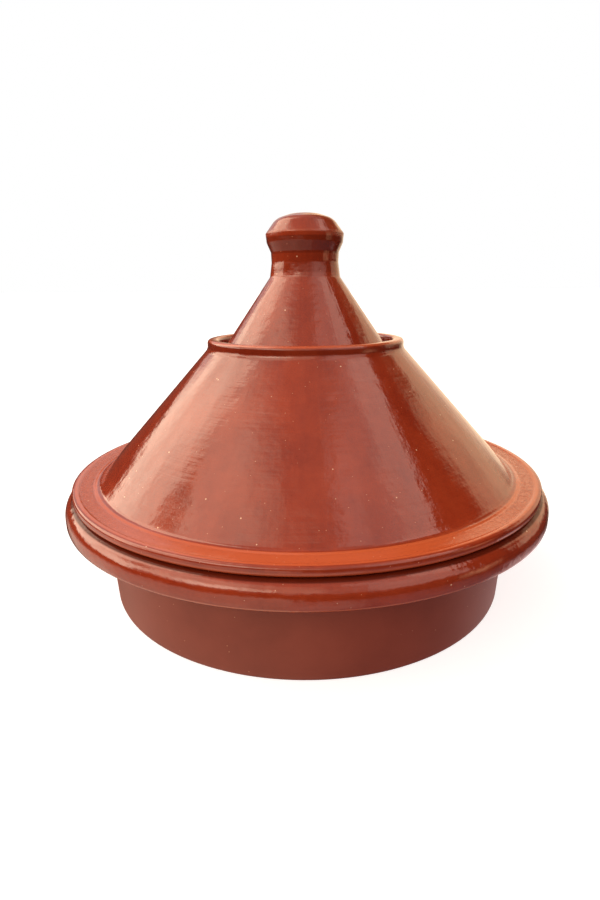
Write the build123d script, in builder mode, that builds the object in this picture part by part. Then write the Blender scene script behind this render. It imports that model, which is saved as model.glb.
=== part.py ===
from build123d import *
import os

# A tagine pot of thrown terracotta: a shallow dish with a thick rolled rim, a wide
# conical lid that rests on the rim by a flange, and a smaller, steeper cap with a
# knob that sits inside the collar at the top of the lid. +Z is up and the origin is
# the centre of the dish's foot. Sizes are millimetres. Every profile lies in the XZ
# plane, with X the distance from the pot's axis.

# gap between two pieces that rest on each other
rest_gap = 0.4

# dish
foot_radius = 134.2
foot_round = 1.8
wall_top_radius = 137.0
well_mouth_radius = 129.0
well_floor_radius = 126.5
floor_thickness = 9.0
floor_round = 14.0
rim_radius = 160.0
rim_thickness = 14.6
rim_round = 9.5
rim_lip_round = 3.0
rim_inner_round = 5.0
rim_under_round = 2.0
crown_height = 71.0

# lid: flange and locating ring
flange_radius = 155.0
flange_thickness = 5.2
flange_edge_round = 1.6
flange_lip_width = 3.5
flange_dip = 0.7
ring_play = 1.2
ring_inner_radius = 120.5
ring_depth = 8.0
ring_round = 2.0

# lid: cone, seat and collar
cone_base_radius = 138.4
cone_top_radius = 65.6
cone_top_height = 156.2
cone_width_across_wall = 10.2
cone_foot_fillet = 7.0
collar_radius = 64.6
collar_inner_radius = 57.4
collar_height = 163.4
collar_round = 3.4
seat_inner_radius = 47.0
seat_thickness = 7.0
seat_round = 1.5

# cap: steep hollow cone, neck and solid knob
cap_base_radius = 54.3
cap_width_across_wall = 8.4
cap_edge_round = 1.5
hollow_height = 196.0
hollow_round = 9.0
cone_end_radius = 25.4
cone_end_height = 198.4
neck_radius = 21.6
neck_height = 211.6
knob_radius = 24.5
knob_low_height = 222.6
knob_high_height = 229.2
dome_radius = 16.5
dome_height = 236.7
apex_height = 239.4

os.makedirs("parts", exist_ok=True)

# The dish: the outside wall up from the foot, out under the rim, round its roll, in
# over the crown and down the cooking well to the floor.
rim_underside = crown_height - rim_thickness

with BuildPart() as dish:
    with BuildSketch(Plane.XZ):
        with BuildLine():
            FilletPolyline(
                (0, 0),
                (foot_radius, 0),
                (wall_top_radius, rim_underside),
                (rim_radius, rim_underside),
                (rim_radius, crown_height),
                (well_mouth_radius, crown_height),
                (well_floor_radius, floor_thickness),
                (0, floor_thickness),
                radius=(foot_round, rim_under_round, rim_lip_round, rim_round, rim_inner_round, floor_round),
            )
            Line((0, floor_thickness), (0, 0))
        make_face()
    revolve(axis=Axis.Z)
dish.part.label = "dish"

# The lid: a flange with a slightly raised lip that rests on the dish's crown, a ring
# under it that drops into the dish's mouth, the cone, and at its open top a collar
# with a seat inside for the cap.
flange_bottom = crown_height + rest_gap
flange_top = flange_bottom + flange_thickness
flange_floor = flange_top - flange_dip
lip_inner_radius = flange_radius - flange_lip_width
ring_outer_radius = well_mouth_radius - ring_play
cone_spread = (cone_base_radius - cone_top_radius) / (cone_top_height - flange_floor)
collar_foot = cone_top_height + (cone_top_radius - collar_radius) / cone_spread
seat_underside = cone_top_height - seat_thickness
inner_cone_top = cone_top_radius - cone_width_across_wall + seat_thickness * cone_spread
inner_cone_foot = seat_underside - (ring_inner_radius - inner_cone_top) / cone_spread

with BuildPart() as lid:
    with BuildSketch(Plane.XZ):
        with BuildLine():
            FilletPolyline(
                (collar_radius, collar_height),
                (collar_radius, collar_foot),
                (cone_base_radius, flange_floor),
                (lip_inner_radius, flange_floor),
                (lip_inner_radius + flange_dip, flange_top),
                (flange_radius, flange_top),
                (flange_radius, flange_bottom),
                (ring_outer_radius, flange_bottom),
                (ring_outer_radius, flange_bottom - ring_depth),
                (ring_inner_radius, flange_bottom - ring_depth),
                (ring_inner_radius, inner_cone_foot),
                (inner_cone_top, seat_underside),
                (seat_inner_radius, seat_underside),
                (seat_inner_radius, cone_top_height),
                (collar_inner_radius, cone_top_height),
                (collar_inner_radius, collar_height),
                radius=(
                    collar_round,
                    0,
                    cone_foot_fillet,
                    0,
                    0,
                    flange_edge_round,
                    flange_edge_round,
                    0,
                    ring_round,
                    ring_round,
                    0,
                    seat_round,
                    seat_round,
                    seat_round,
                    seat_round,
                    collar_round,
                ),
                close=True,
            )
        make_face()
    revolve(axis=Axis.Z)
lid.part.label = "lid"

# The cap: a hollow cone that rests on the lid's seat and narrows to a neck, with a
# solid knob whose belt bulges out under a low dome.
cap_bottom = cone_top_height + rest_gap
cap_rise = cone_end_height - cap_bottom
cap_spread = (cap_base_radius - cone_end_radius) / cap_rise
hollow_base_radius = cap_base_radius - cap_width_across_wall
hollow_top_radius = hollow_base_radius - (hollow_height - cap_bottom) * cap_spread

with BuildPart() as cap:
    with BuildSketch(Plane.XZ):
        with BuildLine():
            Line((0, hollow_height), (0, apex_height))
            Spline(
                (0, apex_height),
                (dome_radius, dome_height),
                (knob_radius, knob_high_height),
                (knob_radius, knob_low_height),
                (neck_radius, neck_height),
                (cone_end_radius, cone_end_height),
                tangents=((1, 0), (cap_spread, -1)),
            )
            FilletPolyline(
                (cone_end_radius, cone_end_height),
                (cap_base_radius, cap_bottom),
                (hollow_base_radius, cap_bottom),
                (hollow_top_radius, hollow_height),
                (0, hollow_height),
                radius=(cap_edge_round, cap_edge_round, hollow_round),
            )
        make_face()
    revolve(axis=Axis.Z)
cap.part.label = "cap"

export_step(dish.part, "parts/dish.step")
export_step(lid.part, "parts/lid.step")
export_step(cap.part, "parts/cap.step")
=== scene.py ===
import bpy, bmesh, math
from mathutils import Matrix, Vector, noise


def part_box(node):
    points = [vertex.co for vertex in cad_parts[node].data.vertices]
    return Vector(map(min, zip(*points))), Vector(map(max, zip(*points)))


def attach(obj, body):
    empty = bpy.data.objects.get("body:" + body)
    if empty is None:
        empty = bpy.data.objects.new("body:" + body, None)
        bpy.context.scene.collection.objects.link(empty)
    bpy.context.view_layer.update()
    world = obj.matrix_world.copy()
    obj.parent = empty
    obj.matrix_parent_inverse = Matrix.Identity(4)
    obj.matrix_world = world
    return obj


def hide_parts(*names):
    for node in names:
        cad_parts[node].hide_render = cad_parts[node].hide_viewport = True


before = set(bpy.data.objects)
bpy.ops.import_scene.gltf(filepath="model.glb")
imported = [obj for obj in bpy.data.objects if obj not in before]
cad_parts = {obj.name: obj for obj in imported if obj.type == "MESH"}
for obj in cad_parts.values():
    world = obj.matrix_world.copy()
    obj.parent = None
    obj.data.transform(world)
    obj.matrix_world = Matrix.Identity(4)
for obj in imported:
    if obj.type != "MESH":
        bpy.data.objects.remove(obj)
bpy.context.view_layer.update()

mm = 0.001


def hexColour(code):  # sRGB hex to the linear values that a shader socket takes
    channels = [int(code[i:i + 2], 16) / 255 for i in (1, 3, 5)]
    linear = [c / 12.92 if c <= 0.04045 else ((c + 0.055) / 1.055) ** 2.4 for c in channels]
    return (*linear, 1.0)


def addNode(tree, kind, inputs=None, **settings):  # inputs: socket -> a value, or the output that feeds it
    node = tree.nodes.new("ShaderNode" + kind)
    for key, value in settings.items():
        setattr(node, key, value)
    for key, value in (inputs or {}).items():
        if isinstance(value, bpy.types.NodeSocket):
            tree.links.new(value, node.inputs[key])
        else:
            node.inputs[key].default_value = value
    return node


# the potter's wheel: lengths in mm, and how quickly a wall's wobble changes round the pot and up it
wheel = dict(turns=288, faceLength=2.5, facesPerRounding=1.6, weld=0.01,
             wavesRound=1.4, wavesUp=9, unevenAt=150)


# corners: (radius, height, rounding) in mm, in order round the section
def turnOnWheel(name, corners, seed, unevenness):
    bm = bmesh.new()
    points = [Vector((r * mm, 0, z * mm)) for r, z, rounding in corners]
    verts = [bm.verts.new(p) for p in points]
    shut = corners[0][0] > 0  # an outline that starts on the axis stays open there
    for i in range(len(verts) if shut else len(verts) - 1):
        bm.edges.new((verts[i], verts[(i + 1) % len(verts)]))
    for i, (r, z, rounding) in enumerate(corners):
        if rounding:
            turn = (points[i] - points[i - 1]).angle(points[(i + 1) % len(points)] - points[i])
            reach = rounding * mm * math.tan(turn / 2)
            segments = max(3, int(rounding * wheel["facesPerRounding"]))
            bmesh.ops.bevel(bm, geom=[verts[i]], offset=reach, offset_type="OFFSET", segments=segments,
                            profile=0.5, affect="VERTICES", material=-1)
    for edge in bm.edges[:]:
        cuts = int(edge.calc_length() / (wheel["faceLength"] * mm))
        if cuts:
            bmesh.ops.subdivide_edges(bm, edges=[edge], cuts=cuts)
    bmesh.ops.spin(bm, geom=bm.verts[:] + bm.edges[:], cent=(0, 0, 0), axis=(0, 0, 1), dvec=(0, 0, 0),
                   angle=math.tau, steps=wheel["turns"], use_merge=True, use_duplicate=False)
    bmesh.ops.remove_doubles(bm, verts=bm.verts[:], dist=wheel["weld"] * mm)
    bmesh.ops.recalc_face_normals(bm, faces=bm.faces[:])
    for vert in bm.verts:  # a hand-thrown wall is never quite round
        radius = math.hypot(vert.co.x, vert.co.y)
        if radius > mm:
            around = Vector((vert.co.x / radius, vert.co.y / radius, vert.co.z * wheel["wavesUp"]))
            wobble = noise.noise(around * wheel["wavesRound"] + Vector((seed, 0, 0)))
            swell = 1 + wobble * unevenness / wheel["unevenAt"]
            vert.co.x *= swell
            vert.co.y *= swell
    mesh = bpy.data.meshes.new(name)
    bm.to_mesh(mesh)
    bm.free()
    mesh.shade_smooth()
    piece = bpy.data.objects.new(name, mesh)
    bpy.context.scene.collection.objects.link(piece)
    return piece


# sizes that come from the frame, in mm
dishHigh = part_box("dish")[1] / mm
lidLow, lidHigh = [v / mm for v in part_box("lid")]
capLow, capHigh = [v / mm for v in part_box("cap")]
print("frame loaded", *[tuple(round(v) for v in high) for high in (dishHigh, lidHigh, capHigh)])

# bareFrom to bareTo: how far from the axis the outer wall's unglazed clay lies
dish = dict(foot=134.2, footRound=1.8, wallTop=137.0, wallRound=2, rim=dishHigh.x, crown=dishHigh.z,
            rimThickness=14.6, lipRound=2.4, rollRound=8.6, wellMouth=129.0, mouthRound=5.0,
            wellFloor=126.5, floor=9.0, floorRound=14.0, bareFrom=131.5, bareTo=143.0,
            seed=3.1, unevenness=0.15)

rimUnder = dish["crown"] - dish["rimThickness"]
dishPiece = turnOnWheel("dishThrown", [
    (0, 0, 0),
    (dish["foot"], 0, dish["footRound"]),
    (dish["wallTop"], rimUnder, dish["wallRound"]),
    (dish["rim"], rimUnder, dish["lipRound"]),
    (dish["rim"], dish["crown"], dish["rollRound"]),
    (dish["wellMouth"], dish["crown"], dish["mouthRound"]),
    (dish["wellFloor"], dish["floor"], dish["floorRound"]),
    (0, dish["floor"], 0),
], dish["seed"], dish["unevenness"])
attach(dishPiece, "dish")
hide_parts("dish")
print("dish", len(dishPiece.data.polygons))

lid = dict(flange=lidHigh.x, restGap=0.4, flangeThickness=5.2, edgeRound=1.6,
           lipWidth=5.0, dip=0.5, dipRound=2, bead=2.0, beadHeight=0.35, beadFall=1.3, beadRound=1.5,
           coneBase=138.4, footRound=3.0, coneTop=65.6, coneTopHeight=156.2, wallAcross=10.2, hollowRound=6,
           collar=64.6, collarInner=57.4, collarRound=2.2, underCollarRound=5,
           seatInner=47.0, seatThickness=7.0, seatRound=1.5, underSeatRound=4,
           ringPlay=1.2, ringInner=120.5, ringRound=2.0, ringRootRound=1, seed=8.7, unevenness=0.15)

flangeUnder = dish["crown"] + lid["restGap"]
flangeTop = flangeUnder + lid["flangeThickness"]
flangeFloor = flangeTop - lid["dip"]
beadTop = flangeFloor + lid["beadHeight"]
coneSpread = (lid["coneBase"] - lid["coneTop"]) / (lid["coneTopHeight"] - flangeFloor)
collarFoot = lid["coneTopHeight"] + (lid["coneTop"] - lid["collar"]) / coneSpread
seatUnder = lid["coneTopHeight"] - lid["seatThickness"]
innerTop = lid["coneTop"] - lid["wallAcross"] + lid["seatThickness"] * coneSpread
innerFoot = seatUnder - (lid["ringInner"] - innerTop) / coneSpread
flangeInner = lid["coneBase"] + lid["bead"]
lipInner = lid["flange"] - lid["lipWidth"]
ringOuter = dish["wellMouth"] - lid["ringPlay"]
lidPiece = turnOnWheel("lidThrown", [
    (lid["collar"], lidHigh.z, lid["collarRound"]),
    (lid["collar"], collarFoot, lid["underCollarRound"]),
    (lid["coneBase"] - lid["beadHeight"] * coneSpread, beadTop, lid["footRound"]),
    (flangeInner, beadTop, lid["beadRound"]),
    (flangeInner + lid["beadFall"], flangeFloor, lid["beadRound"]),
    (lipInner, flangeFloor, lid["dipRound"]),
    (lipInner + 2 * lid["dip"], flangeTop, lid["dipRound"]),
    (lid["flange"], flangeTop, lid["edgeRound"]),
    (lid["flange"], flangeUnder, lid["edgeRound"]),
    (ringOuter, flangeUnder, lid["ringRootRound"]),
    (ringOuter, lidLow.z, lid["ringRound"]),
    (lid["ringInner"], lidLow.z, lid["ringRound"]),
    (lid["ringInner"], innerFoot, lid["hollowRound"]),
    (innerTop, seatUnder, lid["underSeatRound"]),
    (lid["seatInner"], seatUnder, lid["seatRound"]),
    (lid["seatInner"], lid["coneTopHeight"], lid["seatRound"]),
    (lid["collarInner"], lid["coneTopHeight"], lid["seatRound"]),
    (lid["collarInner"], lidHigh.z, lid["collarRound"]),
], lid["seed"], lid["unevenness"])
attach(lidPiece, "lid")
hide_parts("lid")
print("lid", len(lidPiece.data.polygons))

# hollowSlope: the radius that the inside loses for each mm of height
cap = dict(base=54.3, edgeRound=1.5, wallAcross=8.4, hollowSlope=0.69, hollowTop=196.0, hollowRound=9.0,
           coneEnd=22.6, coneEndHeight=201.6, coneEndRound=2.5, neck=21.4, neckHeight=210.5, neckRound=7,
           crease=21.7, creaseHeight=216.6, creaseRound=0.7,
           underBelt=24.2, underBeltHeight=222.2, underBeltRound=3.5,
           belt=24.8, beltHeight=227.6, beltRound=1.3, shoulder=18.2, shoulderHeight=236.3, shoulderRound=9,
           crown=9, crownDrop=0.1, crownRound=12,
           seed=5.3, unevenness=0.12)

hollowBase = cap["base"] - cap["wallAcross"]
hollowEnd = hollowBase - (cap["hollowTop"] - capLow.z) * cap["hollowSlope"]
capPiece = turnOnWheel("capThrown", [
    (0, capHigh.z, 0),
    (cap["crown"], capHigh.z - cap["crownDrop"], cap["crownRound"]),
    (cap["shoulder"], cap["shoulderHeight"], cap["shoulderRound"]),
    (cap["belt"], cap["beltHeight"], cap["beltRound"]),
    (cap["underBelt"], cap["underBeltHeight"], cap["underBeltRound"]),
    (cap["crease"], cap["creaseHeight"], cap["creaseRound"]),
    (cap["neck"], cap["neckHeight"], cap["neckRound"]),
    (cap["coneEnd"], cap["coneEndHeight"], cap["coneEndRound"]),
    (cap["base"], capLow.z, cap["edgeRound"]),
    (hollowBase, capLow.z, cap["edgeRound"]),
    (hollowEnd, cap["hollowTop"], cap["hollowRound"]),
    (0, cap["hollowTop"], 0),
], cap["seed"], cap["unevenness"])
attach(capPiece, "cap")
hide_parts("cap")
print("cap", len(capPiece.data.polygons))


# bands: (inner, outer, bottom, top, amount), in mm from the axis and the foot; edges fade over a millimetre
def bandMask(tree, radius, height, bands):
    mask = 0.0
    for inner, outer, bottom, top, amount in bands:
        band = amount
        for value, edge, reach in ((radius, inner, -1), (radius, outer, 1),
                                   (height, bottom, -1), (height, top, 1)):
            limits = {"Value": value, "From Min": (edge + reach) * mm, "From Max": edge * mm}
            fade = addNode(tree, "MapRange", limits, interpolation_type="SMOOTHSTEP").outputs[0]
            band = addNode(tree, "Math", {0: fade, 1: band}, operation="MULTIPLY").outputs[0]
        mask = addNode(tree, "Math", {0: mask, 1: band}, operation="MAXIMUM").outputs[0]
    return mask


# grains: (spacing in mm, share left out, colour, shift in m)
# fade: where a grain's soft edge ends and where it starts, in spacings
def grainsOver(tree, place, colour, grains, fade):
    for spacing, leftOut, shade, shift in grains:
        shifted = addNode(tree, "VectorMath", {0: place, 1: (shift, shift, 0)}, operation="ADD").outputs[0]
        cell = addNode(tree, "TexVoronoi", {"Vector": shifted, "Scale": 1 / (spacing * mm)}).outputs
        limits = {"Value": cell["Distance"], "From Min": fade[0], "From Max": fade[1]}
        near = addNode(tree, "MapRange", limits).outputs[0]
        lot = addNode(tree, "SeparateColor", {0: cell["Color"]}).outputs[0]
        picked = addNode(tree, "Math", {0: lot, 1: leftOut}, operation="GREATER_THAN").outputs[0]
        grain = addNode(tree, "Math", {0: near, 1: picked}, operation="MULTIPLY").outputs[0]
        colour = addNode(tree, "Mix", {0: grain, 6: colour, 7: hexColour(shade)}, data_type="RGBA").outputs[2]
    return colour


# cream grains show through the glaze as pinholes, and the dark ones are iron
# streaks and rings: waves across the pot's radius, in x and in y, then in a metre down it (250 is 4 mm apart)
# the darkest red is painted shade; the thin clay orange is thin glaze, and on the lid flange's top also
# painted light
glaze = dict(red="#822A14", warmRed="#9A3A1D", streakRed="#A04426", thinClay="#C35E36", thinRing="#AD4D2C",
             paintedShadeRed="#4A160C", wipedRed="#92402A", wipedTint=0.7, wipedDullness=0.3, wipedInFront=0.15,
             streaks=(22, 22, 9), rings=(0.8, 0.8, 250), smoothest=0.05, dullest=0.11, ior=1.65,
             grains=((3.4, 0.6, "#CF9878", 0), (6.5, 0.62, "#E8C2A2", 2), (3.1, 0.7, "#5C1C0C", 4)),
             grainFade=(0.075, 0.045))


# clear honey-red glaze over red clay: glossy, orange where it runs thin (on the lid flange's top also painted
# light from above), with dark brown painted shade in gaps and under overhangs
def glazedTerracotta(name, sag, thinGlazeAndLitTop, paintedShade, worn):  # sag: how much the glaze's own waves are deepened
    material = bpy.data.materials.new(name)
    material.use_nodes = True
    tree = material.node_tree
    tree.nodes.clear()
    place = addNode(tree, "TexCoord").outputs["Object"]
    axes = addNode(tree, "SeparateXYZ", {0: place}).outputs
    flat = addNode(tree, "CombineXYZ", {0: axes["X"], 1: axes["Y"]}).outputs[0]
    radius = addNode(tree, "VectorMath", {0: flat}, operation="LENGTH").outputs["Value"]
    outward = addNode(tree, "VectorMath", {0: flat}, operation="NORMALIZE").outputs[0]
    facing = addNode(tree, "SeparateXYZ", {0: outward}).outputs
    descent = addNode(tree, "Math", {0: axes["Z"], 1: radius}, operation="SUBTRACT").outputs[0]
    unrolled = addNode(tree, "CombineXYZ", {0: facing["X"], 1: facing["Y"], 2: descent}).outputs[0]

    # patterns with a size in mm, then the streaks that creep down the wall and the throwing rings
    patterns = {}
    for key, size, detail, roughness in (("cloud", 35, 4, 0.6), ("mottle", 6, 4, 0.7), ("wiped", 1.3, 3, 0.7),
                                         ("sag", 14, 2, 0.55), ("ripple", 5, 3, 0.55),
                                         ("orangePeel", 1.6, 2, 0.6)):
        inputs = {"Vector": place, "Scale": 1 / (size * mm), "Detail": detail, "Roughness": roughness}
        patterns[key] = addNode(tree, "TexNoise", inputs).outputs["Fac"]
    for key, waves, detail in (("streak", glaze["streaks"], 3), ("ring", glaze["rings"], 2)):
        stretched = addNode(tree, "VectorMath", {0: unrolled, 1: waves}, operation="MULTIPLY").outputs[0]
        inputs = {"Vector": stretched, "Scale": 1.0, "Detail": detail, "Roughness": 0.55}
        patterns[key] = addNode(tree, "TexNoise", inputs).outputs["Fac"]
    patchy = {0: patterns["mottle"], 1: 0.4, 2: patterns["cloud"]}
    patterns["patch"] = addNode(tree, "Math", patchy, operation="MULTIPLY_ADD").outputs[0]

    # crawled, dry patches left by wiping the glaze off, least on the front of the piece
    front = {"Value": facing["Y"], "From Min": -0.95, "From Max": -0.6, "To Min": glaze["wipedInFront"]}
    side = addNode(tree, "MapRange", front).outputs[0]
    limits = {"Value": patterns["wiped"], "From Min": 0.35, "From Max": 0.65}
    dry = addNode(tree, "MapRange", limits).outputs[0]
    for share in (side, bandMask(tree, radius, axes["Z"], worn)):
        dry = addNode(tree, "Math", {0: dry, 1: share}, operation="MULTIPLY").outputs[0]

    amounts = {}
    for key, value, low, high, most in (("warmRed", patterns["patch"], 0.5, 0.9, 1.0),
                                        ("streakRed", patterns["streak"], 0.45, 0.75, 0.18),
                                        ("thinRing", patterns["ring"], 0.3, 0.7, 0.5),
                                        ("wipedRed", dry, 0, 1, glaze["wipedTint"])):
        limits = {"Value": value, "From Min": low, "From Max": high, "To Max": most}
        amounts[key] = addNode(tree, "MapRange", limits).outputs[0]
    # painted shade: dark red bands where shade falls on the piece
    amounts["paintedShadeRed"] = bandMask(tree, radius, axes["Z"], paintedShade)
    # orange thin glaze, which on the lid flange's top also stands in for light falling from above
    thinLayers = {0: amounts["thinRing"], 6: hexColour(glaze["thinClay"]), 7: hexColour(glaze["thinRing"])}
    layers = {key: hexColour(glaze[key]) for key in ("warmRed", "streakRed", "paintedShadeRed", "wipedRed")}
    layers["thinGlazeAndLitTop"] = addNode(tree, "Mix", thinLayers, data_type="RGBA").outputs[2]
    amounts["thinGlazeAndLitTop"] = bandMask(tree, radius, axes["Z"], thinGlazeAndLitTop)
    colour = hexColour(glaze["red"])
    for key in ("warmRed", "streakRed", "thinGlazeAndLitTop", "paintedShadeRed", "wipedRed"):
        mixed = {0: amounts[key], 6: colour, 7: layers[key]}
        colour = addNode(tree, "Mix", mixed, data_type="RGBA").outputs[2]
    colour = grainsOver(tree, place, colour, glaze["grains"], glaze["grainFade"])

    # rings and sags under the glaze, then its own orange peel and pores; depths in mm
    normal = None
    for relief, depth in ((patterns["ring"], 0.10), (patterns["sag"], 0.28 * sag), (patterns["streak"], 0.08),
                          (patterns["ripple"], 0.09 * sag), (patterns["orangePeel"], 0.04), (dry, 0.06)):
        inputs = {"Height": relief, "Strength": 1.0, "Distance": depth * mm}
        if normal is not None:
            inputs["Normal"] = normal
        normal = addNode(tree, "Bump", inputs).outputs[0]
    limits = {"Value": patterns["cloud"], "From Min": 0.3, "From Max": 0.7,
              "To Min": glaze["smoothest"], "To Max": glaze["dullest"]}
    shine = {0: dry, 1: glaze["wipedDullness"], 2: addNode(tree, "MapRange", limits).outputs[0]}
    shine = addNode(tree, "Math", shine, operation="MULTIPLY_ADD").outputs[0]
    # painted shade: the shaded bands also mirror less of the surround, so their reflection is darkened too
    mirror = {0: amounts["paintedShadeRed"], 1: -0.5, 2: 0.5}
    mirror = addNode(tree, "Math", mirror, operation="MULTIPLY_ADD").outputs[0]
    skin = addNode(tree, "BsdfPrincipled", {"Base Color": colour, "Roughness": shine, "IOR": glaze["ior"],
                                            "Specular IOR Level": mirror, "Normal": normal})
    addNode(tree, "OutputMaterial", {"Surface": skin.outputs[0]})
    return material


# painted shade: the clay darkens towards the foot, starting at the first of the two heights and full at the
# second, in mm above the foot
bare = dict(dark="#813826", light="#944532", footShade="#6E3022", footShadeMost=0.4, footShadeFrom=45, footShadeTo=5, cloudSize=40,
            sandSize=0.9, sandDepth=0.08, roughness=0.48, ior=1.45,
            grains=((5, 0.62, "#C98D6C", 0),), grainFade=(0.065, 0.04))


# unglazed red earthenware, turned: satin, with fine sandy grain, and painted shade that darkens it towards
# the foot
def bareTerracotta(name):
    material = bpy.data.materials.new(name)
    material.use_nodes = True
    tree = material.node_tree
    tree.nodes.clear()
    place = addNode(tree, "TexCoord").outputs["Object"]
    high = addNode(tree, "SeparateXYZ", {0: place}).outputs["Z"]
    patterns = {}
    for key, size, detail, roughness in (("cloud", bare["cloudSize"], 5, 0.6),
                                         ("sand", bare["sandSize"], 2, 0.5)):
        inputs = {"Vector": place, "Scale": 1 / (size * mm), "Detail": detail, "Roughness": roughness}
        patterns[key] = addNode(tree, "TexNoise", inputs).outputs["Fac"]
    colour = hexColour(bare["dark"])
    for value, start, end, most, shade in (
            (patterns["cloud"], 0.3, 0.7, 1.0, bare["light"]),
            # painted shade, darker towards the foot
            (high, bare["footShadeFrom"] * mm, bare["footShadeTo"] * mm, bare["footShadeMost"], bare["footShade"])):
        limits = {"Value": value, "From Min": start, "From Max": end, "To Max": most}
        amount = addNode(tree, "MapRange", limits).outputs[0]
        mixed = {0: amount, 6: colour, 7: hexColour(shade)}
        colour = addNode(tree, "Mix", mixed, data_type="RGBA").outputs[2]
    colour = grainsOver(tree, place, colour, bare["grains"], bare["grainFade"])
    relief = {"Height": patterns["sand"], "Strength": 0.4, "Distance": bare["sandDepth"] * mm}
    bump = addNode(tree, "Bump", relief).outputs[0]
    skin = addNode(tree, "BsdfPrincipled", {"Base Color": colour, "Roughness": bare["roughness"],
                                            "IOR": bare["ior"], "Normal": bump})
    addNode(tree, "OutputMaterial", {"Surface": skin.outputs[0]})
    return material


lidPiece.data.materials.append(glazedTerracotta("glazedTerracottaLid", sag=1.0, thinGlazeAndLitTop=[
    # the flange's top: thin glaze, and painted lighter for the light that falls on it from above
    (flangeInner, lid["flange"] - 2.6, flangeFloor - 0.2, flangeTop + 1, 1.0),
    (lid["flange"] - 1, lid["flange"] + 2, flangeUnder + 0.9, flangeUnder + 1.7, 0.5),
    (lid["collarInner"] - 1, lid["collar"] + 1, lidHigh.z - 0.5, lidHigh.z + 1, 0.8),
], paintedShade=[
    # painted shade on the collar's outer wall
    (lid["collar"] - 1, lid["collar"] + 0.2, lid["coneTopHeight"] + 2.5, lidHigh.z - 2, 0.4),
], worn=[
    (flangeInner + 2.5, lipInner - 0.5, flangeUnder, flangeTop + 1, 1.0),
]))
capPiece.data.materials.append(glazedTerracotta("glazedTerracottaCap", sag=1.8, thinGlazeAndLitTop=[
    (cap["belt"] - 1, cap["belt"] + 2, cap["beltHeight"] - 0.3, cap["beltHeight"] + 0.3, 0.2),
], paintedShade=[
    # painted shade under the knob's belt, and fainter on the neck
    (0, cap["belt"] + 2, cap["creaseHeight"] - 1, cap["beltHeight"] - 3, 0.5),
    (0, cap["belt"] + 2, cap["neckHeight"] - 6, cap["creaseHeight"] - 1, 0.2),
], worn=[
    (0, cap["belt"] + 2, cap["beltHeight"] - 1.5, cap["beltHeight"] + 1, 1.0),
]))
dishPiece.data.materials.append(glazedTerracotta("glazedTerracottaDish", sag=1.6, thinGlazeAndLitTop=[
    (dish["rim"] - 4, dish["rim"] + 2, rimUnder - 1, rimUnder + 1.2, 0.9),
], paintedShade=[
    # painted shadow of the gap under the lid's flange: a dark ring on the crown, also mirroring less
    (lid["flange"] - 3, lid["flange"] + 0.6, dish["crown"] - 2.6, dish["crown"] + 1, 0.85),
], worn=[
    (dish["wellMouth"], lid["flange"] - 4, dish["crown"] - 1, dish["crown"] + 1, 1.0),
]))
dishPiece.data.materials.append(bareTerracotta("bareTerracotta"))
for face in dishPiece.data.polygons:  # the glaze stops under the rim, so the outer wall and the foot are bare
    across = math.hypot(face.center.x, face.center.y) / mm
    up = face.center.z / mm
    onWall = up < rimUnder + 0.3 and dish["bareFrom"] < across < dish["bareTo"]
    if onWall or up < 1:
        face.material_index = 1
print("materials")


# surround: soft cards of light in a dark room, where a later card covers an earlier one
# bearings and heights in degrees, bearing 0 towards the camera and rising to its right
# light is linear, and 1 is white
# lean slants a card's level edges, and twigs breaks the card up
cards = dict(
    scrim=dict(bearing=0, height=57, wide=420, tall=80, soft=6, light=(0.95, 0.76, 0.67)),
    wallLeft=dict(bearing=-62, height=42, wide=78, tall=42, soft=8, light=(3.5, 2.7, 2.1)),
    wallFront=dict(bearing=-12, height=40, wide=40, tall=34, soft=8, light=(2.4, 1.8, 1.4)),
    glowLeft=dict(bearing=-56, height=31, wide=82, tall=16, soft=4, light=(5.7, 4.4, 3.3)),
    doorway=dict(bearing=-92, height=25, wide=30, tall=34, soft=3, light=(7.2, 5.8, 4.4)),
    window=dict(bearing=-120, height=37.5, wide=52, tall=57, lean=0.15, soft=3, light=(6.2, 5.0, 3.8)),
    branches=dict(bearing=-87, height=35.5, wide=16, tall=13, soft=3, light=(0.25, 0.14, 0.07), twigs=True),
    sillLeft=dict(bearing=-45, height=29, wide=30, tall=12, soft=4, light=(7.4, 5.9, 4.6)),
    wallRight=dict(bearing=54, height=40, wide=56, tall=54, soft=6, light=(2.3, 1.7, 1.5)),
    flagRight=dict(bearing=104, height=29, wide=60, tall=45, soft=2, light=(0.09, 0.06, 0.05)),
    shelfRight=dict(bearing=88, height=53, wide=42, tall=23, lean=-0.48, soft=2, light=(3.1, 2.3, 1.95)),
    backWall=dict(bearing=-168, height=26, wide=60, tall=24, soft=5, light=(1.25, 1.2, 1.18)),
    backRight=dict(bearing=146, height=16, wide=72, tall=32, lean=0.1, soft=5, light=(2.4, 1.65, 1.0)),
    doorRight=dict(bearing=108, height=10, wide=16, tall=18, soft=4, light=(2.2, 1.5, 1.0)),
    backLow=dict(bearing=164, height=0, wide=46, tall=34, soft=5, light=(2.3, 1.65, 1.1)),
    beamRight=dict(bearing=150, height=42, wide=60, tall=26, soft=3, light=(0.45, 0.22, 0.11)),
    lampRight=dict(bearing=75, height=-6, wide=16, tall=16, soft=7, light=(3.0, 1.6, 0.9)),
    tableLeft=dict(bearing=-70, height=-52, wide=130, tall=84, soft=6, light=(1.7, 1.3, 1.05)),
    tableFront=dict(bearing=10, height=-62, wide=40, tall=72, soft=8, light=(1.3, 0.93, 0.84)),
    tableRight=dict(bearing=75, height=-60, wide=100, tall=70, soft=8, light=(0.55, 0.44, 0.48)),
    tableBack=dict(bearing=125, height=-34, wide=50, tall=18, soft=5, light=(2.0, 1.4, 1.35)),
)
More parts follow.
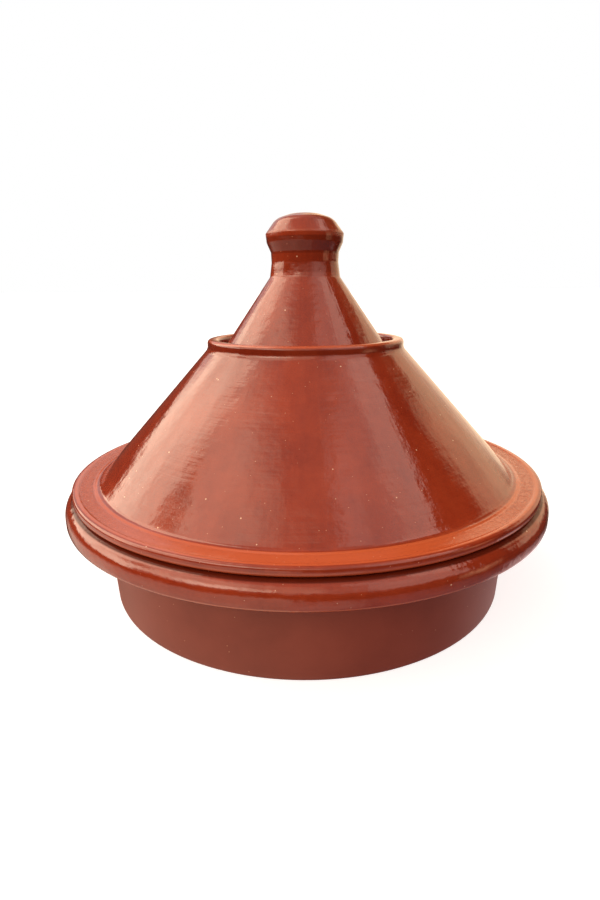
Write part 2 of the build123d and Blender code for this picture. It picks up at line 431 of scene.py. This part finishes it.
# unevenEdge is in degrees, and waves are the waves in a unit of direction
room = dict(dark=(0.10, 0.07, 0.06), strength=0.62, backdrop="#FFFFFF", unevenEdge=6, edgeWaves=9,
            twigWaves=26, driftWaves=3, driftLeast=0.7, driftMost=1.3)

world = bpy.data.worlds.new("surround")
bpy.context.scene.world = world
world.use_nodes = True
tree = world.node_tree
tree.nodes.clear()
looking = addNode(tree, "TexCoord").outputs["Generated"]
way = addNode(tree, "SeparateXYZ", {0: looking}).outputs
towardCamera = addNode(tree, "Math", {0: way["Y"], 1: -1}, operation="MULTIPLY").outputs[0]
bearing = addNode(tree, "Math", {0: way["X"], 1: towardCamera}, operation="ARCTAN2").outputs[0]
bearing = addNode(tree, "Math", {0: bearing}, operation="DEGREES").outputs[0]
height = addNode(tree, "Math", {0: way["Z"]}, operation="ARCSINE").outputs[0]
height = addNode(tree, "Math", {0: height}, operation="DEGREES").outputs[0]
shifts = {}
for key, waves, detail, roughness in (("edge", room["edgeWaves"], 4, 0.6),
                                      ("twig", room["twigWaves"], 5, 0.65),
                                      ("drift", room["driftWaves"], 5, 0.6)):
    inputs = {"Vector": looking, "Scale": waves, "Detail": detail, "Roughness": roughness}
    shifts[key] = addNode(tree, "TexNoise", inputs).outputs["Fac"]
uneven = {0: shifts["edge"], 1: room["unevenEdge"], 2: height}
height = addNode(tree, "Math", uneven, operation="MULTIPLY_ADD").outputs[0]
height = addNode(tree, "Math", {0: height, 1: room["unevenEdge"] / 2}, operation="SUBTRACT").outputs[0]
twigs = addNode(tree, "MapRange", {"Value": shifts["twig"], "From Min": 0.4, "From Max": 0.5}).outputs[0]

light = (*room["dark"], 1)
for card in cards.values():
    aside = addNode(tree, "Math", {0: bearing, 1: card["bearing"]}, operation="SUBTRACT").outputs[0]
    aside = addNode(tree, "Math", {0: aside, 1: 180, 2: -180}, operation="WRAP").outputs[0]
    slanted = {0: aside, 1: card.get("lean", 0), 2: height}
    upright = addNode(tree, "Math", slanted, operation="MULTIPLY_ADD").outputs[0]
    upright = addNode(tree, "Math", {0: upright, 1: card["height"]}, operation="SUBTRACT").outputs[0]
    mask = twigs if card.get("twigs") else 1.0
    for offset, span in ((aside, card["wide"]), (upright, card["tall"])):
        off = addNode(tree, "Math", {0: offset}, operation="ABSOLUTE").outputs[0]
        limits = {"Value": off, "From Min": span / 2 + card["soft"], "From Max": span / 2 - card["soft"]}
        edge = addNode(tree, "MapRange", limits, interpolation_type="SMOOTHSTEP").outputs[0]
        mask = addNode(tree, "Math", {0: mask, 1: edge}, operation="MULTIPLY").outputs[0]
    light = addNode(tree, "Mix", {0: mask, 6: light, 7: (*card["light"], 1)}, data_type="RGBA").outputs[2]
limits = {"Value": shifts["drift"], "From Min": 0.3, "From Max": 0.7,
          "To Min": room["driftLeast"], "To Max": room["driftMost"]}
drift = addNode(tree, "MapRange", limits).outputs[0]
light = addNode(tree, "VectorMath", {0: light, "Scale": drift}, operation="SCALE").outputs[0]
lit = addNode(tree, "Background", {"Color": light, "Strength": room["strength"]}).outputs[0]
plain = addNode(tree, "Background", {"Color": hexColour(room["backdrop"]), "Strength": 1.0}).outputs[0]
seen = addNode(tree, "LightPath").outputs["Is Camera Ray"]
both = addNode(tree, "MixShader", {0: seen, 1: lit, 2: plain}).outputs[0]
addNode(tree, "OutputWorld", {"Surface": both})

floor = dict(reach=60, face="#C4CAD2", glow="#FFFFFF", glowStrength=0.72)  # reach in m

floorMesh = bpy.data.meshes.new("floorSheet")
bm = bmesh.new()
bmesh.ops.create_grid(bm, x_segments=1, y_segments=1, size=floor["reach"])
bm.to_mesh(floorMesh)
bm.free()
floorPiece = bpy.data.objects.new("floorSheet", floorMesh)
bpy.context.scene.collection.objects.link(floorPiece)
acrylic = bpy.data.materials.new("backLitAcrylic")  # matt white that glows, as a light table's top does
acrylic.use_nodes = True
sheet = acrylic.node_tree.nodes["Principled BSDF"]
sheet.inputs["Base Color"].default_value = hexColour(floor["face"])
sheet.inputs["Roughness"].default_value = 1.0
sheet.inputs["Specular IOR Level"].default_value = 0
sheet.inputs["Emission Color"].default_value = hexColour(floor["glow"])
sheet.inputs["Emission Strength"].default_value = floor["glowStrength"]
floorMesh.materials.append(acrylic)
floorPiece.visible_glossy = False
floorPiece.visible_diffuse = False
print("lights and floor")

# close, wide view from the height of the cap's cone, tilted down; metres and degrees
view = dict(distance=0.369, height=0.1938, pitch=16.44, roll=-0.47,
            lens=21.74, film=36, shiftX=-0.0072, nearest=0.01)
camera = bpy.data.cameras.new("camera")
camera.lens = view["lens"]
camera.sensor_width = view["film"]
camera.shift_x = view["shiftX"]
camera.clip_start = view["nearest"]
cameraSpot = bpy.data.objects.new("camera", camera)
bpy.context.scene.collection.objects.link(cameraSpot)
cameraSpot.location = (0, -view["distance"], view["height"])
cameraSpot.rotation_mode = "ZXY"
cameraSpot.rotation_euler = (math.radians(90 - view["pitch"]), 0, math.radians(view["roll"]))
bpy.context.scene.camera = cameraSpot
bpy.context.scene.view_settings.view_transform = "Standard"

bpy.context.view_layer.update()
